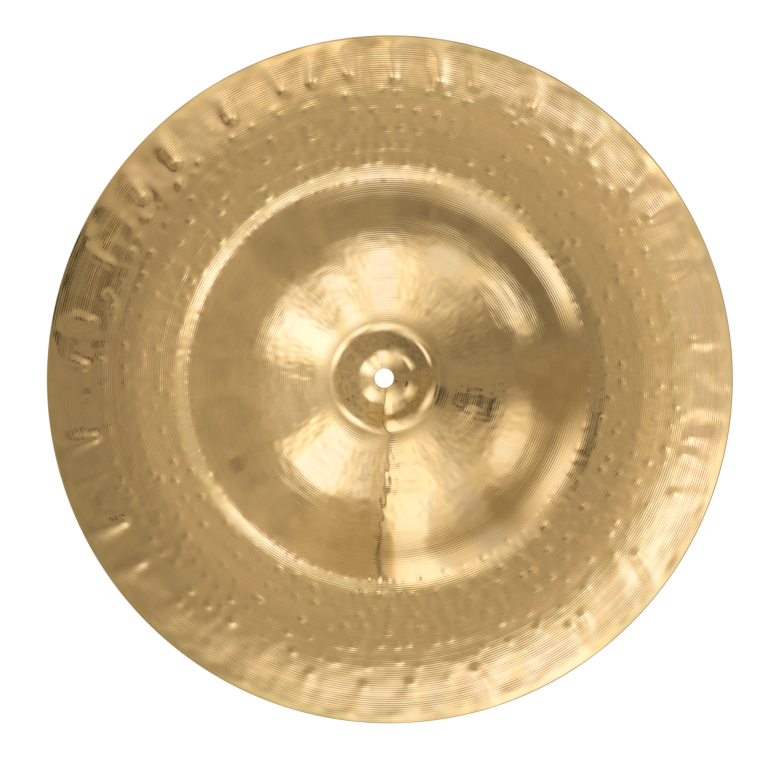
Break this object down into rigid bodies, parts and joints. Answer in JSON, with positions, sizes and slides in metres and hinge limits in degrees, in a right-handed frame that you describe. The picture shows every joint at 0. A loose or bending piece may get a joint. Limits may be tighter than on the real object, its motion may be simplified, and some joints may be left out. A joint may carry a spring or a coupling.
{
  "type": "china cymbal",
  "caption": "Round bronze china cymbal: low bell with a central hole, domed bow, valley ring and upturned hammered flange.",
  "frame": {"origin": "under the hole, on the plane that the cymbal's lowest ring lies on", "axes": "+Z along the hole's axis, from the lowest ring up to the bell; +X points to the right of the picture and +Y to its top"},
  "size_m": [0.4826, 0.4826, 0.0425],
  "materials": {
    "b20_bronze": "hammered, lathed and buffed cast bronze"
  },
  "bodies": {
    "root": {"cymbal": "b20_bronze"}
  },
  "joints": []
}
